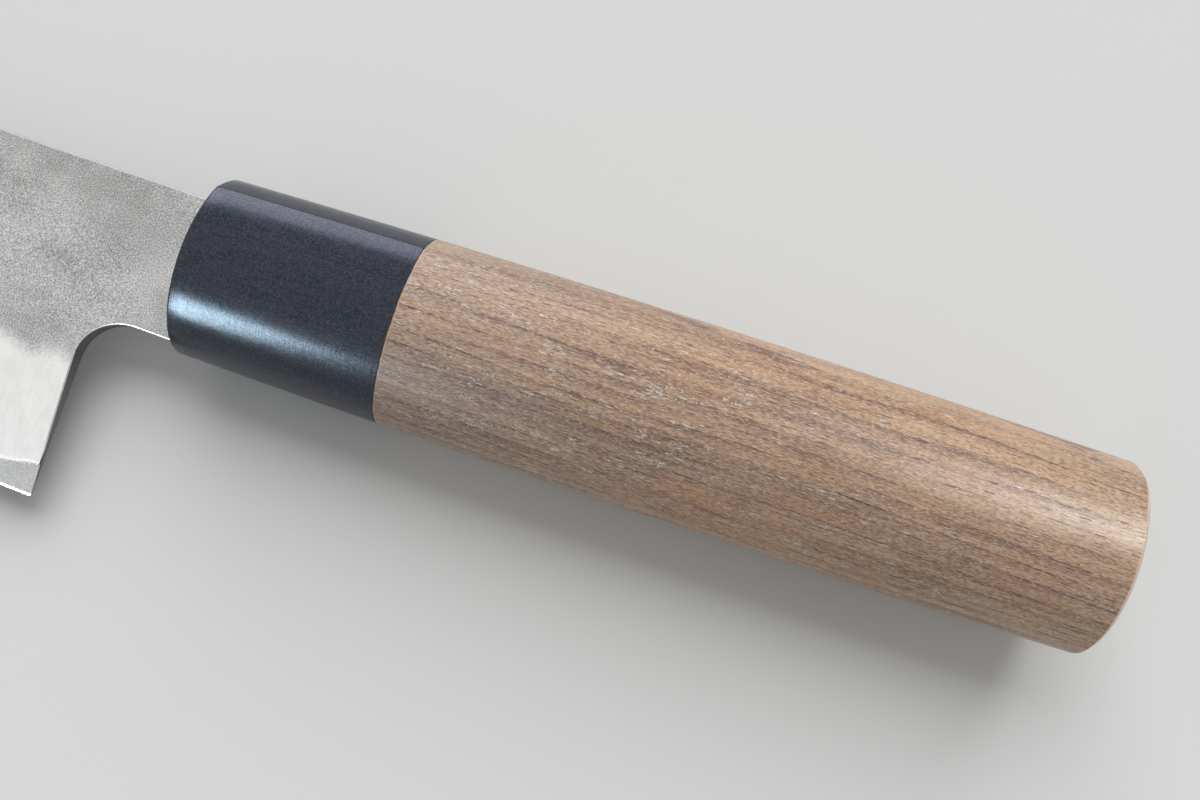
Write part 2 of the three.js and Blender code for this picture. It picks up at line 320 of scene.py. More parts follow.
def split_share(core):
    """Share of the upper face that lies under the top of the heel's wall."""
    if core:
        low, top = edge_y(HEEL_X) + bare_core_height(HEEL_X), spine_y(HEEL_X)
    else:
        low, top = bevel_top(HEEL_X), spine_y(HEEL_X) - SPINE_CHAMFER
    return (NOTCH_BOTTOM - low) / (top - low)


def neck_outline():
    """Points of the notch and of the neck's underside, from heel to ferrule, with the way inward."""
    made = []
    for i in range(NOTCH_COLUMNS + 1):
        turn = math.pi - math.pi / 2 * i / NOTCH_COLUMNS
        x = NOTCH_WIDTH * (1 + math.cos(turn)) - NECK_LENGTH
        y = NOTCH_BOTTOM + NOTCH_DEPTH * math.sin(turn)
        inward = Vector((NOTCH_DEPTH * math.cos(turn), NOTCH_WIDTH * math.sin(turn))).normalized()
        made.append((x, y, inward))
    notch_x, notch_y = made[-1][:2]
    for i in range(1, NECK_COLUMNS + 1):
        share = i / NECK_COLUMNS
        made.append((lerp(notch_x, 0, share), lerp(notch_y, NECK_BOTTOM, share), Vector((0, 1))))
    return made


def neck_shares(bottom, top):
    """Where the rows cross the ferrule's front. Two of them meet the corners of the tang."""
    marks = [0, *TANG_ROWS, FACE_ROWS]
    heights = [bottom, -TANG_HEIGHT / 2, TANG_HEIGHT / 2, top]
    rows = np.interp(range(FACE_ROWS + 1), marks, heights)
    return [(row - bottom) / (top - bottom) for row in rows]


def blade_sheet(core):
    """Left side of the core or of the left cladding."""
    sheet = Sheet()
    inset = 0 if core else HEEL_CHAMFER
    end_x = TIP_X if core else cladding_end_x()
    wall_x = -NECK_LENGTH - inset
    count = round((wall_x - end_x) / STATION_PITCH)
    heel_rows = row_points(HEEL_X, core)
    apex = sheet.point(end_x, spine_y(end_x), 0 if core else HALF_CORE)
    columns = [[apex] * len(heel_rows)]
    for i in range(1, count):
        x = lerp(end_x, wall_x, i / count)
        columns.append([sheet.point(x, y, z) for y, z in row_points(x, core)])
    last = [sheet.point(heel_wall_x(y) - inset, y, z) for y, z in heel_rows]
    if core:
        x, y, z = sheet.points[last[0]]
        cut = HEEL_ROUNDING * (1 - math.sqrt(0.5))
        sheet.points[last[0]] = (x - cut, y + cut, z)
    columns.append(last)
    sheet.grid(columns, lambda row: blade_slot(row, core))
    rim = []
    if not core:
        wall_rows = heel_rows[: SPLIT_ROW + 1]
        rim = [sheet.point(heel_wall_x(y), y, max(HALF_CORE, z - inset)) for y, z in wall_rows]
        sheet.grid([last, rim], lambda row: TRIM)
    add_neck(sheet, core, last, rim)
    return sheet


def blade_slot(row, core):
    if core:
        return CORE_EDGE if row == 0 else FACE
    return TRIM if row >= TOP_ROW else FACE


def add_neck(sheet, core, last, rim):
    """Neck between the heel's wall and the ferrule, and the tang behind it."""
    outline = neck_outline()
    steps = len(outline) - 1
    chamfer = 0 if core else SPINE_CHAMFER
    heel_y = [sheet.points[i][1] for i in last[SPLIT_ROW : TOP_ROW + 1]]
    heel_shares = [(y - heel_y[0]) / (heel_y[-1] - heel_y[0]) for y in heel_y]
    columns = [rim[-1:] + last[SPLIT_ROW:]]
    for k in range(1, steps + 1):
        x, y, inward = outline[k]
        width = 0 if core else lerp(HEEL_CHAMFER, NECK_CHAMFER, min(1, 2 * k / NOTCH_COLUMNS))
        low = Vector((x, y)) + inward * width
        top_x = lerp(sheet.points[last[-1]][0], 0, k / steps)
        top_y = spine_y(top_x) - chamfer
        column = []
        if not core:
            column.append(sheet.point(x, y, face_half(x, y) - width * NECK_CHAMFER_SLOPE))
        for heel_share, ferrule_share in zip(heel_shares, neck_shares(low.y, top_y)):
            share = lerp(heel_share, ferrule_share, smooth(k / steps))
            px, py = lerp(low.x, top_x, share), lerp(low.y, top_y, share)
            column.append(sheet.point(px, py, HALF_CORE if core else face_half(px, py)))
        if not core:
            half = face_half(top_x, top_y)
            for i in range(CHAMFER_ROWS):
                turn = math.pi / 2 * (i + 1) / CHAMFER_ROWS
                height = half - chamfer * (1 - math.cos(turn))
                column.append(sheet.point(top_x, top_y + chamfer * math.sin(turn), height))
        columns.append(column)
    first = 0 if core else 1
    trims = () if core else (0, *range(first + FACE_ROWS, first + FACE_ROWS + CHAMFER_ROWS))
    sheet.grid(columns, lambda row: TRIM if row in trims else FACE)
    add_tang(sheet, core, columns[-1][first + TANG_ROWS[0] : first + TANG_ROWS[1] + 1])


def add_tang(sheet, core, start):
    straight = TANG_LENGTH - TANG_END_ROUNDING
    places = [straight * (i + 1) / TANG_PITCH for i in range(TANG_PITCH)]
    turns = [math.pi / 2 * (i + 1) / ROUNDING_STEPS for i in range(ROUNDING_STEPS)]
    halves = [lerp(TANG_HEIGHT, TANG_END_HEIGHT, x / straight) / 2 for x in places]
    places += [straight + TANG_END_ROUNDING * math.sin(t) for t in turns]
    halves += [TANG_END_HEIGHT / 2 - TANG_END_ROUNDING * (1 - math.cos(t)) for t in turns]
    columns = [start]
    for x, half in zip(places, halves):
        rows = np.linspace(-half, half, len(start))
        columns.append([sheet.point(x, y, HALF_CORE if core else HALF_BLADE) for y in rows])
    sheet.grid(columns, lambda row: FACE)


# Lines of the handle


def handle_height(x):
    share = x / HANDLE_LENGTH
    barrel = 4 * (MIDDLE_HEIGHT - (FRONT_HEIGHT + BUTT_HEIGHT) / 2)
    return lerp(FRONT_HEIGHT, BUTT_HEIGHT, share) + barrel * share * (1 - share)


def bezier(points, share):
    while len(points) > 1:
        points = [a.lerp(b, share) for a, b in zip(points, points[1:])]
    return points[0]


def section(softness):
    """Oval with one ridge, as (height, thickness) shares, from the ridge round by the edge side."""
    ridge, spine = Vector(RIDGE), Vector((1, 0))
    start = math.acos(OVAL_START)
    oval = Vector((OVAL_START, math.sin(start)))
    under, over = (oval - ridge).length * RIDGE_PULL, (spine - ridge).length * RIDGE_PULL

    def facing(angle):
        return Vector((-math.cos(angle), math.sin(angle) / THICKNESS_SHARE)).normalized()

    inner_pull, oval_pull = facing(RIDGE_INNER_ANGLE) * under, Vector((oval.y, -oval.x)) * under
    outer_pull, spine_pull = facing(RIDGE_OUTER_ANGLE) * over, Vector((0, over))
    inner = [ridge, ridge + inner_pull, oval + oval_pull, oval]
    outer = [spine, spine + spine_pull, ridge - outer_pull, ridge]
    corner = [bezier(outer, 1 - softness), ridge, bezier(inner, softness)]
    made = [bezier(corner, 0.5 + 0.5 * i / ROUNDING_STEPS) for i in range(ROUNDING_STEPS)]
    made += [bezier(inner, lerp(softness, 1, i / CURVE_POINTS)) for i in range(CURVE_POINTS)]
    for i in range(OVAL_POINTS):
        turn = lerp(start, 2 * math.pi, i / OVAL_POINTS)
        made.append(Vector((math.cos(turn), math.sin(turn))))
    made += [bezier(outer, lerp(0, 1 - softness, i / CURVE_POINTS)) for i in range(CURVE_POINTS)]
    made += [bezier(corner, 0.5 * i / ROUNDING_STEPS) for i in range(ROUNDING_STEPS)]
    return made


def handle_ring(shape, x, insets=0):
    half_height = handle_height(x) / 2
    insets = [insets] * len(shape) if not isinstance(insets, list) else insets
    ring = []
    for (up, out), inset in zip(shape, insets):
        ring.append((x, up * (half_height - inset), out * (THICKNESS_SHARE * half_height - inset)))
    return ring


def bore_ring(shape, x):
    rays = [Vector((up, out * THICKNESS_SHARE)).normalized() * BORE_DIAMETER / 2 for up, out in shape]
    return [(x, ray.x, ray.y) for ray in rays]


def slot_ring(shape, x):
    ring = []
    for up, out in shape:
        ray = Vector((up, out * THICKNESS_SHARE))
        to_top = SLOT_HEIGHT / 2 / max(NEARLY_ZERO, abs(ray.x))
        to_side = SLOT_THICKNESS / 2 / max(NEARLY_ZERO, abs(ray.y))
        reach = min(to_top, to_side)
        ring.append((x, ray.x * reach, ray.y * reach))
    return ring


def loft(rings, slots, start=None, end=None):
    """Closed body through rings. Without end points the last ring meets the first."""
    count = len(rings[0])
    points = [p for ring in rings for p in ring]
    faces, used = [], []
    pairs = list(zip(range(len(rings) - 1), range(1, len(rings))))
    if start is None:
        pairs.append((len(rings) - 1, 0))
    for (a, b), slot in zip(pairs, slots):
        for k in range(count):
            n = (k + 1) % count
            faces.append((a * count + k, a * count + n, b * count + n, b * count + k))
            used.append(slot)
    caps = [] if start is None else [(start, 0, slots[0]), (end, len(rings) - 1, slots[-1])]
    for centre, ring, slot in caps:
        points.append(centre)
        for k in range(count):
            faces.append((len(points) - 1, ring * count + k, ring * count + (k + 1) % count))
            used.append(slot)
    return points, faces, used


def ferrule_body():
    """Slot for the tang, front rounding, long outer wall, rim at the joint, and bore."""
    shape = section(FERRULE_RIDGE_SOFTNESS)
    rings = [slot_ring(shape, FERRULE_WALL), slot_ring(shape, 0)]
    for i in range(ROUNDING_STEPS + 1):
        turn = math.pi / 2 * i / ROUNDING_STEPS
        x = FERRULE_ROUNDING * (1 - math.cos(turn))
        rings.append(handle_ring(shape, x, FERRULE_ROUNDING * (1 - math.sin(turn))))
    count = round(FERRULE_LENGTH / HANDLE_PITCH)
    end = FERRULE_LENGTH - JOINT_ROUNDING
    rings += [handle_ring(shape, lerp(FERRULE_ROUNDING, end, (i + 1) / count)) for i in range(count)]
    rings.append(handle_ring(shape, FERRULE_LENGTH, JOINT_ROUNDING))
    rings += [bore_ring(shape, FERRULE_LENGTH), bore_ring(shape, FERRULE_WALL)]
    return loft(rings, [FACE] * len(rings))


def handle_body():
    """Blind bore, ragged rim at the joint, long outer wall, chamfer and face of the butt."""
    shape = section(BODY_RIDGE_SOFTNESS)
    ragged = []
    for k in range(len(shape)):
        chip = abs(wobble(k * 0.37, 4.1, 0.3)) + 0.5 * abs(wobble(k * 1.13, 9.7, 0.3))
        ragged.append(JOINT_ROUNDING + JOINT_RAGGEDNESS * chip)
    rings = [bore_ring(shape, BORE_END), bore_ring(shape, FERRULE_LENGTH)]
    rings.append(handle_ring(shape, FERRULE_LENGTH, ragged))
    rim = handle_ring(shape, FERRULE_LENGTH + JOINT_ROUNDING)
    rings.append([(FERRULE_LENGTH + r, y, z) for (x, y, z), r in zip(rim, ragged)])
    start, end = FERRULE_LENGTH + 2 * JOINT_RAGGEDNESS, HANDLE_LENGTH - BUTT_CHAMFER
    count = round((end - start) / HANDLE_PITCH)
    rings += [handle_ring(shape, lerp(start, end, i / count)) for i in range(count + 1)]
    rings.append(handle_ring(shape, HANDLE_LENGTH, BUTT_CHAMFER))
    flat = len(rings) - 1
    for share in BUTT_RING_SHARES:
        inset = lerp(THICKNESS_SHARE * BUTT_HEIGHT / 2, BUTT_CHAMFER, share)
        rings.append(handle_ring(shape, HANDLE_LENGTH, inset))
    slots = [END_GRAIN if i >= flat else FACE for i in range(len(rings))]
    return loft(rings, slots, start=(BORE_END, 0, 0), end=(HANDLE_LENGTH, 0, 0))


# Objects


def make_object(name, points, faces, slots, materials):
    mesh = bpy.data.meshes.new(name)
    mesh.from_pydata([ORIGIN + Vector(p) * MM for p in points], [], faces)
    for material in materials:
        mesh.materials.append(material)
    mesh.polygons.foreach_set("material_index", slots)
    shaped = bmesh.new()
    shaped.from_mesh(mesh)
    bmesh.ops.recalc_face_normals(shaped, faces=shaped.faces)
    for face in shaped.faces:
        face.smooth = True
    for edge in shaped.edges:
        one_finish = len({face.material_index for face in edge.link_faces}) == 1
        edge.smooth = one_finish and edge.calc_face_angle(0) < SHARP_ANGLE
    shaped.to_mesh(mesh)
    shaped.free()
    made = bpy.data.objects.new(name, mesh)
    bpy.context.scene.collection.objects.link(made)
    return made


def replace_node(piece, node):
    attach(piece, "root")
    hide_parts(node)


def add_distances(piece):
    """Stores on each point its height above the top of the bevel and above the lamination line."""
    above_bevel, above_line = [], []
    for vertex in piece.data.vertices:
        place = (vertex.co - ORIGIN) / MM
        x = min(place.x, HEEL_X)
        above_bevel.append(place.y - bevel_top(x))
        above_line.append(place.y - edge_y(x) - bare_core_height(x))
    for name, values in (("above_bevel", above_bevel), ("above_line", above_line)):
        stored = piece.data.attributes.new(name, "FLOAT", "POINT")
        stored.data.foreach_set("value", values)


def blade_layers(face, trim, wall, core, edge):
    middle = blade_sheet(True)
    middle.close(lambda z: -z, CORE_WALL)
    piece = make_object("hard_core", middle.points, middle.faces, middle.slots, [core, wall, edge])
    add_distances(piece)
    replace_node(piece, "core_steel")
    side = blade_sheet(False)
    side.close(lambda z: HALF_CORE, CLADDING_WALL)
    for name, node, sign in (("left_side", "cladding_left", 1), ("right_side", "cladding_right", -1)):
        points = [(x, y, sign * z) for x, y, z in side.points]
        piece = make_object(name, points, side.faces, side.slots, [face, trim, wall])
        add_distances(piece)
        replace_node(piece, node)


def handle_pieces(horn, walnut, end_grain):
    piece = make_object("black_ferrule", *ferrule_body(), [horn])
    replace_node(piece, "ferrule")
    piece = make_object("walnut_body", *handle_body(), [walnut, end_grain])
    replace_node(piece, "handle_body")


# Materials. Lengths in them are millimetres too.


def tone(red, green, blue):
    """Colour from its display values, 0 to 255."""
    linear = []
    for value in (red, green, blue):
        share = value / 255
        linear.append(share / 12.92 if value <= 10 else ((share + 0.055) / 1.055) ** 2.4)
    return (*linear, 1)


class Shader:
    """Short ways to build one material's nodes."""

    def __init__(self, name):
        self.material = bpy.data.materials.new(name)
        self.material.use_nodes = True
        self.tree = self.material.node_tree
        self.tree.nodes.clear()
        scale = (1 / MM, 1 / MM, 1 / MM)
        where = self.node("ShaderNodeTexCoord").outputs["Object"]
        inputs = {"Vector": where, "Location": -ORIGIN / MM, "Scale": scale}
        self.place = self.node("ShaderNodeMapping", inputs=inputs).outputs[0]

    def node(self, kind, settings=None, inputs=None):
        made = self.tree.nodes.new(kind)
        for key, value in (settings or {}).items():
            setattr(made, key, value)
        for key, value in (inputs or {}).items():
            if isinstance(value, bpy.types.NodeSocket):
                self.tree.links.new(value, made.inputs[key])
            else:
                made.inputs[key].default_value = value
        return made

    def spread(self, sizes, shift):
        """The place, counted in cells of these sizes."""
        scale = [1 / size for size in sizes]
        inputs = {"Vector": self.place, "Scale": scale, "Location": shift}
        return self.node("ShaderNodeMapping", inputs=inputs).outputs[0]

    def noise(self, sizes, detail=2, shift=(0, 0, 0), roughness=0.5, distortion=0):
        inputs = {
            "Vector": self.spread(sizes, shift),
            "Scale": 1,
            "Detail": detail,
            "Roughness": roughness,
            "Distortion": distortion,
        }
        return self.node("ShaderNodeTexNoise", inputs=inputs).outputs["Fac"]

    def cells(self, sizes, shift=(0, 0, 0)):
        """Distance to the middle of the nearest cell, and that cell's own random value."""
        inputs = {"Vector": self.spread(sizes, shift), "Scale": 1}
        made = self.node("ShaderNodeTexVoronoi", inputs=inputs)
        split = self.node("ShaderNodeSeparateColor", inputs={0: made.outputs["Color"]})
        return made.outputs["Distance"], split.outputs[0]

    def math(self, operation, *values):
        return self.node("ShaderNodeMath", {"operation": operation}, dict(enumerate(values))).outputs[0]

    def remap(self, value, low, high, to_low=0.0, to_high=1.0, kind="SMOOTHSTEP"):
        inputs = {0: value, 1: low, 2: high, 3: to_low, 4: to_high}
        return self.node("ShaderNodeMapRange", {"interpolation_type": kind}, inputs).outputs[0]

    def mix(self, share, first, second):
        inputs = {0: share, 6: first, 7: second}
        return self.node("ShaderNodeMix", {"data_type": "RGBA"}, inputs).outputs[2]

    def axes(self):
        return self.node("ShaderNodeSeparateXYZ", inputs={0: self.place}).outputs

    def bump(self, height, depth, normal=None):
        inputs = {"Height": height, "Distance": depth * MM, "Strength": 1.0}
        if normal:
            inputs["Normal"] = normal
        return self.node("ShaderNodeBump", inputs=inputs).outputs[0]

    def finish(self, inputs):
        surface = self.node("ShaderNodeBsdfPrincipled", inputs=inputs)
        output = self.node("ShaderNodeOutputMaterial")
        self.tree.links.new(surface.outputs[0], output.inputs[0])
        return self.material

    def finish_metal(self, color, roughness, normal):
        inputs = {"Base Color": color, "Metallic": 1.0, "Roughness": roughness, "Normal": normal}
        return self.finish(inputs)


def cladding_steel():
    """Pear-skin scale above, a bevel with a satin shine below, and a wandering line between."""
    s = Shader("pear_skin_and_bevel")
    above_bevel = s.node("ShaderNodeAttribute", {"attribute_name": "above_bevel"}).outputs["Fac"]
    wander = s.math("MULTIPLY_ADD", s.noise((5, 9, 9), 3), 3.6, -1.8)
    stipple = s.math("MULTIPLY_ADD", s.noise((0.3, 0.3, 0.3), 3), 2.4, -1.2)
    skin = s.remap(s.math("ADD", above_bevel, s.math("ADD", wander, stipple)), -1.8, 1.2)

    cloud = s.noise((13, 9, 9), 3, (3.3, 0, 0))
    patch = s.noise((3.4, 2.8, 2.8), 3, (0, 7.1, 0))
    grain = s.noise((0.19, 0.18, 0.18), 2, roughness=0.7)
    cloudy = s.math("MULTIPLY_ADD", cloud, 0.7, s.math("MULTIPLY", patch, 0.3))
    grey = s.mix(s.remap(cloudy, 0.4, 0.62, kind="LINEAR"), tone(156, 155, 154), tone(187, 186, 185))
    grey = s.mix(s.remap(grain, 0.34, 0.52, 0.66, 0), grey, tone(102, 101, 100))
    grey = s.mix(s.remap(grain, 0.52, 0.68, 0, 0.62), grey, tone(236, 235, 234))
    satin = s.noise((0.14, 7, 7), 3)
    haze = s.noise((1.2, 2.4, 2.4), 3, (4, 0, 0))
    dull = s.math("MULTIPLY_ADD", satin, 0.3, s.math("MULTIPLY", haze, 0.35))
    dull = s.math("MULTIPLY_ADD", grain, 0.35, dull)
    shine = s.mix(s.remap(dull, 0.36, 0.62), tone(221, 220, 219), tone(233, 232, 231))
    shine = s.mix(s.math("MULTIPLY", lamination_glint(s), 0.85), shine, tone(254, 254, 254))
    color = s.mix(skin, shine, grey)

    rough = s.math("MULTIPLY_ADD", grain, 0.16, 0.2)
    polished = s.math("MULTIPLY_ADD", satin, 0.06, 0.12)
    roughness = s.node("ShaderNodeMix", inputs={0: skin, 2: polished, 3: rough}).outputs[0]
    uneven = s.math("SUBTRACT", s.math("MULTIPLY_ADD", patch, 1.5, grain), 1.25)
    normal = s.bump(s.math("MULTIPLY", skin, uneven), 0.022, s.bump(satin, 0.0006))
    return s.finish_metal(color, roughness, normal)


def lamination_glint(s):
    """Ragged bright seam where the two steels meet."""
    above_line = s.node("ShaderNodeAttribute", {"attribute_name": "above_line"}).outputs["Fac"]
    ragged = s.math("MULTIPLY_ADD", s.noise((0.42, 0.22, 0.22), 3, roughness=0.65), 2, -1)
    far = s.math("ABSOLUTE", s.math("SUBTRACT", s.math("ADD", above_line, ragged), 0.08))
    return s.remap(far, 0.06, 0.26, 1, 0)


def core_steel():
    """Hard steel under the lamination line, hazy from the stones."""
    s = Shader("stone_finished_core")
    haze = s.noise((2.2, 1.4, 1.4), 2)
    lines = s.noise((0.14, 2.5, 2.5), 3)
    grit = s.noise((0.24, 0.2, 0.2), 2, (3, 0, 0))
    color = s.mix(s.remap(haze, 0.35, 0.65), tone(169, 168, 167), tone(176, 174, 172))
    color = s.mix(s.remap(lines, 0.4, 0.6, 0, 0.25), color, tone(168, 166, 164))
    color = s.mix(s.remap(grit, 0.46, 0.66, 0, 0.6), color, tone(202, 200, 198))
    color = s.mix(s.math("MULTIPLY", lamination_glint(s), 0.7), color, tone(250, 249, 248))
    roughness = s.math("MULTIPLY_ADD", lines, 0.1, 0.16)
    return s.finish_metal(color, roughness, s.bump(lines, 0.001))


def bright_steel(name, shade, rough, sizes):
    """Cut and chamfered faces, with the marks of the belt along them."""
    s = Shader(name)
    lines = s.noise(sizes, 3)
    darker = [c * 0.86 for c in shade[:3]] + [1]
    color = s.mix(s.remap(lines, 0.35, 0.65), darker, shade)
    roughness = s.math("MULTIPLY_ADD", lines, 0.14, rough)
    return s.finish_metal(color, roughness, s.bump(lines, 0.003))


def black_ferrule():
    """Black, buffed wood and resin laminate with fine marks round it."""
    s = Shader("black_laminate")
    round_marks = s.noise((0.14, 4, 4), 3, roughness=0.6)
    soft_marks = s.noise((0.8, 3, 3), 3, (2, 0, 0))
    long_marks = s.noise((14, 0.09, 0.09), 2, (0, 3, 0))
    scratch = s.remap(long_marks, 0.7, 0.76)
    tint = s.noise((9, 0.8, 0.8), 3, (5, 0, 0), 0.6)
    speckle = s.noise((0.3, 0.2, 0.2), 2, (0, 0, 7), 0.7)
    color = s.mix(s.remap(tint, 0.4, 0.62), tone(5, 16, 27), tone(30, 24, 40))
    color = s.mix(s.remap(round_marks, 0.45, 0.7, 0, 0.25), color, tone(48, 44, 62))
    color = s.mix(s.remap(speckle, 0.5, 0.68, 0, 0.5), color, tone(64, 66, 80))
    color = s.mix(s.math("MULTIPLY", scratch, 0.3), color, tone(70, 74, 84))
    marks = s.math("MULTIPLY_ADD", soft_marks, 0.1, s.math("MULTIPLY", round_marks, 0.16))
    roughness = s.math("MULTIPLY_ADD", scratch, 0.1, s.math("ADD", marks, 0.08))
    height = s.math("MULTIPLY_ADD", scratch, -0.2, round_marks)
    inputs = {
        "Base Color": color,
        "Roughness": roughness,
        "Normal": s.bump(height, 0.008),
        "Specular IOR Level": s.remap(speckle, 0.34, 0.6, 0.34, 0.54),
        "Specular Tint": tone(232, 246, 255),
    }
    return s.finish(inputs)


def wood_rings(s):
    """Growth rings, each from 0 to 1: shells round the pith, bent a little."""
    bend = s.noise((90, 15, 15), 2, (1.7, 0, 0))
    sway = s.noise((26, 3.4, 3.4), 2, (0, 1.7, 0))
    x, y, z = s.axes()
    across = s.math("ADD", s.math("MULTIPLY_ADD", x, PITH_LEAN, y), PITH_BELOW)
    depth = s.math("ADD", z, PITH_RIGHT)
    radius = s.math("SQRT", s.math("ADD", s.math("POWER", across, 2), s.math("POWER", depth, 2)))
    bent = s.math("MULTIPLY_ADD", sway, 1.1, s.math("MULTIPLY_ADD", bend, 6, radius))
    return s.math("FRACT", s.math("DIVIDE", bent, RING_WIDTH))


def walnut():
    """Oiled, unfilled walnut with growth lines, open pores, and pale dust in some of the pores."""
    s = Shader("walnut_side_grain")
    ring = wood_rings(s)
    fibres = s.noise((2.4, 0.15, 0.15), 3, (2, 0, 0), 0.65)
    color = walnut_bands(s, ring, fibres)
    color = walnut_patches(s, color)
    color = walnut_lines(s, ring, color)
    color, pore = walnut_pores(s, color)
    color = walnut_rims(s, fibres, color)
    roughness = s.math("MULTIPLY_ADD", fibres, 0.26, 0.24)
    height = s.math("SUBTRACT", s.math("MULTIPLY", fibres, 0.5), pore)
    inputs = {
        "Base Color": color,
        "Roughness": roughness,
        "Normal": s.bump(height, 0.03),
        "Specular IOR Level": 0.45,
    }
    return s.finish(inputs)


def walnut_bands(s, ring, fibres):
    """Light and dark wood in bands, stripes, rings and fibres, with a painted highlight lightening it
    towards the butt.
    """
    bands = s.noise((60, 2.2, 2.2), 3, (0, 0, 2), 0.5, 0.15)
    stripes = s.noise((30, 0.5, 0.5), 3, (0, 5, 2), 0.6, 0.1)
    plain = s.remap(s.noise((34, 5, 5), 2, (4, 0, 3)), 0.36, 0.62, 0.3, 1)
    late = s.math("MULTIPLY", s.remap(ring, 0.2, 0.95, kind="LINEAR"), plain)
    share = s.math("MULTIPLY_ADD", bands, 0.42, s.math("MULTIPLY", stripes, 0.34))
    share = s.math("MULTIPLY_ADD", late, 0.13, s.math("MULTIPLY_ADD", fibres, 0.2, share))
    # Painted highlight: the wood is made lighter towards the butt, where the light falls brighter
    share = s.math("SUBTRACT", share, s.remap(s.axes()[0], 66, 116, 0, 0.065))
    depth = s.remap(share, 0.422, 0.678, kind="LINEAR")
    return s.mix(depth, tone(186, 155, 127), tone(106, 81, 74))


def walnut_patches(s, color):
    """Warmer and browner patches about the middle, and a painted greyish sheen towards the ferrule."""
    x = s.axes()[0]
    warm = s.noise((20, 2.6, 2.6), 3, (0, 5, 1))
    warm_reach = s.remap(s.math("ABSOLUTE", s.math("SUBTRACT", x, 72)), 14, 50, 1, 0.25)
    warmth = s.math("MULTIPLY", s.remap(warm, 0.44, 0.7), s.math("MULTIPLY", warm_reach, 0.5))
    color = s.mix(warmth, color, tone(178, 130, 94))
    # Painted sheen: the wood is greyed towards the ferrule, standing in for a cool gloss of light there
    color = s.mix(s.remap(x, 30, 76, 0.3, 0), color, tone(160, 148, 142))
    brown = s.noise((18, 1.6, 1.6), 3, (3, 8, 0), 0.6)
    brown_reach = s.remap(s.math("ABSOLUTE", s.math("SUBTRACT", x, 66)), 12, 42, 0.46, 0.2)
    return s.mix(s.math("MULTIPLY", s.remap(brown, 0.5, 0.66), brown_reach), color, tone(120, 86, 66))


def walnut_lines(s, ring, color):
    """Broken dark line at the end of each ring, dark streaks, and the fine figure between them."""
    broken = s.noise((7, 1.1, 1.1), 3, (6, 0, 2), 0.6)
    line = s.math("MULTIPLY", s.remap(ring, 0.8, 0.94), s.remap(broken, 0.48, 0.58))
    color = s.mix(s.math("MULTIPLY", line, 0.75), color, tone(94, 70, 70))
    streak = s.noise((14, 0.26, 0.26), 2, (0, 2, 4), 0.6, 0.15)
    to_butt = s.remap(s.axes()[0], 40, 116, 0.45, 0.9)
    color = s.mix(s.math("MULTIPLY", s.remap(streak, 0.6, 0.72), to_butt), color, tone(84, 60, 60))
    speckle = s.noise((0.68, 0.15, 0.15), 2, (0, 0, 6), 0.7)
    color = s.mix(s.remap(speckle, 0.36, 0.5, 0.52, 0), color, tone(84, 64, 56))
    return s.mix(s.remap(speckle, 0.5, 0.64, 0, 0.48), color, tone(214, 190, 164))


def walnut_pores(s, color):
    """Open pores, crowded in some regions towards the front, and flecks of pale dust in them."""
    x, y, z = s.axes()
    front = s.remap(x, 50, 108, 1, 0.15)
    below = s.remap(y, -6, 10, 1, 0.5)
    dusty = s.noise((4.6, 1.2, 1.2), 2, (9, 1, 0), 0.55)
    region = s.noise((24, 5, 5), 2, (2, 5, 0))
    reach = s.math("MULTIPLY", s.math("MULTIPLY", front, below), s.remap(region, 0.34, 0.56, 0.4, 1))
    porous = s.math("MULTIPLY", s.remap(dusty, 0.55, 0.62), reach)

    pore_far, pore_own = s.cells((2.3, 0.16, 0.16), (0.3, 0, 0))
    open_pore = s.math("LESS_THAN", pore_own, s.math("MULTIPLY_ADD", porous, 0.45, 0.1))
    pore = s.math("MULTIPLY", s.remap(pore_far, 0.2, 0.42, 1, 0), open_pore)
    color = s.mix(s.math("MULTIPLY", pore, 0.7), color, tone(70, 54, 50))

    ragged = s.noise((0.26, 0.1, 0.1), 2, (1, 0, 0))
    for length, width, shift, crowd in ((1.6, 0.21, 7.7, 0.66), (0.5, 0.19, 3.1, 0.42)):
        fleck_far, fleck_own = s.cells((length, width, width), (shift, 2, 0))
        ragged_far = s.math("MULTIPLY_ADD", s.math("SUBTRACT", ragged, 0.5), 1.2, fleck_far)
        chosen = s.math("LESS_THAN", fleck_own, s.math("MULTIPLY_ADD", porous, crowd, 0.004))
        fleck = s.math("MULTIPLY", s.remap(ragged_far, 0.22, 0.42, 0.84, 0), chosen)
        color = s.mix(fleck, color, tone(212, 213, 208))
    return color, pore


def walnut_rims(s, fibres, color):
    """Pale ragged rim at the joint, and a painted highlight on the chamfer at the butt."""
    x = s.axes()[0]
    rim_raggedness = s.math("MULTIPLY", fibres, 0.3)
    joint_far = s.math("SUBTRACT", x, FERRULE_LENGTH)
    butt_far = s.math("SUBTRACT", HANDLE_LENGTH - BUTT_CHAMFER, x)
    joint_rim = s.remap(s.math("ADD", joint_far, rim_raggedness), 0.2, 0.5, 0.6, 0)
    # Painted highlight: pale pinkish colour on the butt's chamfer, standing in for the light that edge
    # catches
    butt_chamfer_highlight = s.remap(s.math("ADD", butt_far, rim_raggedness), 0.1, 0.25, 0.85, 0)
    color = s.mix(joint_rim, color, tone(206, 164, 132))
    return s.mix(butt_chamfer_highlight, color, tone(226, 202, 188))


